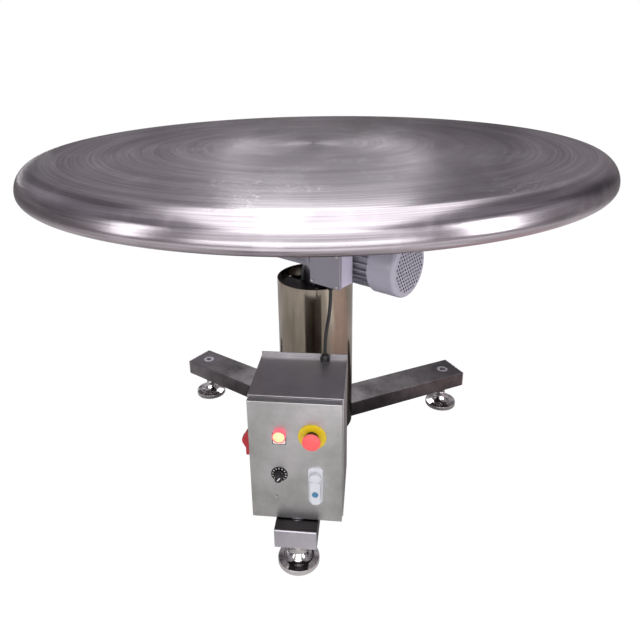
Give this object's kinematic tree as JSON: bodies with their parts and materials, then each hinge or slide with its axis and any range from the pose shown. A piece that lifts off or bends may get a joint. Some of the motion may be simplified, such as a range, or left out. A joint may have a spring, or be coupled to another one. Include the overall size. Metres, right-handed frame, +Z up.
{
  "type": "rotary accumulation table",
  "caption": "Round stainless table top turned by a worm gear motor on a column with radial arms, with levelling feet and a control box on one arm.",
  "frame": {"origin": "On the floor under the spindle", "axes": "+Z up the spindle, -Y towards the operator and the control box's door, +X to the operator's right"},
  "size_m": [1.3998, 1.4, 0.894],
  "materials": {
    "satin_stainless": "satin",
    "polished_stainless": "polished",
    "dark_stainless": "satin",
    "plain_steel": "satin",
    "bright_steel": "polished",
    "gearbox_grey": "satin",
    "motor_aluminium": "cast",
    "cowl_grey": "satin",
    "zinc_plate": "zinc plated",
    "black_rubber": "matt",
    "black_plastic": "matt",
    "grey_plastic": "matt",
    "white_plastic": "matt",
    "red_plastic": "satin",
    "lit_lens": "lit",
    "yellow_plastic": "satin",
    "blue_plastic": "gloss"
  },
  "bodies": {
    "frame": {"column_tube": "polished_stainless", "column_deck": "dark_stainless", "arm_front": "dark_stainless", "arm_left": "dark_stainless", "arm_right": "dark_stainless", "arm_end_plates": "polished_stainless", "foot_bushes": "polished_stainless", "foot_lock_nuts": "bright_steel", "gearbox_pedestal": "plain_steel", "gearbox_housing": "gearbox_grey", "bearing_housing": "gearbox_grey", "spindle_bearings": "plain_steel", "frame_bolts": "bright_steel", "motor_flange": "gearbox_grey", "motor_stator": "motor_aluminium", "fan_cowl": "cowl_grey", "terminal_box": "gearbox_grey", "terminal_box_lid": "gearbox_grey", "motor_gland": "black_plastic", "motor_cable": "black_rubber", "roof_gland": "black_plastic", "mains_gland": "black_plastic", "back_plate": "satin_stainless", "box_shell": "satin_stainless", "inner_panel": "zinc_plate", "speed_inverter": "white_plastic", "terminal_blocks": "grey_plastic", "hinge_brackets": "satin_stainless", "isolator_switch": "grey_plastic"},
    "turntable": {"turntable_disc": "satin_stainless", "turntable_stiffeners": "plain_steel", "turntable_hub": "plain_steel", "hub_bolts": "bright_steel", "spindle": "plain_steel"},
    "rotor": {"rotor_shaft": "plain_steel", "cooling_fan": "black_plastic"},
    "door": {"box_door": "satin_stainless", "door_seal": "black_rubber", "hinge_knuckles": "satin_stainless", "estop_collar": "yellow_plastic", "estop_barrel": "black_plastic", "lamp_holder": "black_plastic", "lamp_lens": "lit_lens", "potentiometer": "black_plastic", "lock_plate": "grey_plastic"},
    "estop_plunger": {"estop_stem": "grey_plastic"},
    "estop_button": {"estop_head": "red_plastic"},
    "knob": {"speed_knob": "black_plastic"},
    "lock_turner": {"lock_spindle": "bright_steel", "lock_cam": "zinc_plate"},
    "lock_handle": {"lock_lever": "grey_plastic"},
    "lock_release": {"lock_button": "blue_plastic"},
    "isolator": {"isolator_handle": "red_plastic"},
    "foot_front": {"foot_front_base": "polished_stainless", "foot_front_stud": "bright_steel"},
    "foot_left": {"foot_left_base": "polished_stainless", "foot_left_stud": "bright_steel"},
    "foot_right": {"foot_right_base": "polished_stainless", "foot_right_stud": "bright_steel"}
  },
  "joints": [
    {"name": "table_spin", "type": "hinge", "parent": "frame", "child": "turntable", "pos_m": [0, 0, 0.8], "axis": [0, 0, 1], "continuous": true},
    {"name": "motor_spin", "type": "hinge", "parent": "frame", "child": "rotor", "pos_m": [-0.03431, -0.05284, 0.648], "axis": [0.8387, -0.5446, 0], "continuous": true},
    {"name": "door_swing", "type": "hinge", "parent": "frame", "child": "door", "pos_m": [-0.095, -0.459, 0.281], "axis": [0, 0, -1], "range_deg": [0, 105]},
    {"name": "estop_press", "type": "slide", "parent": "door", "child": "estop_plunger", "axis": [0, 1, 0], "range_m": [0, 0.004], "stiffness_N_per_m": 1500},
    {"name": "estop_twist", "type": "hinge", "parent": "estop_plunger", "child": "estop_button", "pos_m": [0.037, -0.48, 0.351], "axis": [0, 1, 0], "range_deg": [0, 40]},
    {"name": "speed_turn", "type": "hinge", "parent": "door", "child": "knob", "pos_m": [-0.036, -0.475, 0.25], "axis": [0, 1, 0], "range_deg": [0, 270]},
    {"name": "lock_turn", "type": "hinge", "parent": "door", "child": "lock_turner", "pos_m": [0.043, -0.465, 0.252], "axis": [0, -1, 0], "range_deg": [0, 90]},
    {"name": "lock_lift", "type": "hinge", "parent": "lock_turner", "child": "lock_handle", "pos_m": [0.043, -0.4755, 0.252], "axis": [-1, 0, 0], "range_deg": [0, 35]},
    {"name": "lock_press", "type": "slide", "parent": "lock_handle", "child": "lock_release", "axis": [0, 1, 0], "range_m": [0, 0.002], "stiffness_N_per_m": 800},
    {"name": "isolator_turn", "type": "hinge", "parent": "frame", "child": "isolator", "pos_m": [-0.11, -0.39, 0.276], "axis": [-1, 0, 0], "range_deg": [0, 90]},
    {"name": "foot_front_level", "type": "slide", "parent": "frame", "child": "foot_front", "axis": [0, 0, 1], "range_m": [-0.025, 0.008]},
    {"name": "foot_right_level", "type": "slide", "parent": "frame", "child": "foot_right", "axis": [0, 0, 1], "range_m": [-0.025, 0.008]},
    {"name": "foot_left_level", "type": "slide", "parent": "frame", "child": "foot_left", "axis": [0, 0, 1], "range_m": [-0.025, 0.008]}
  ],
  "couplings": [
    {"joint": "motor_spin", "follows": "table_spin", "ratio": 40}
  ]
}
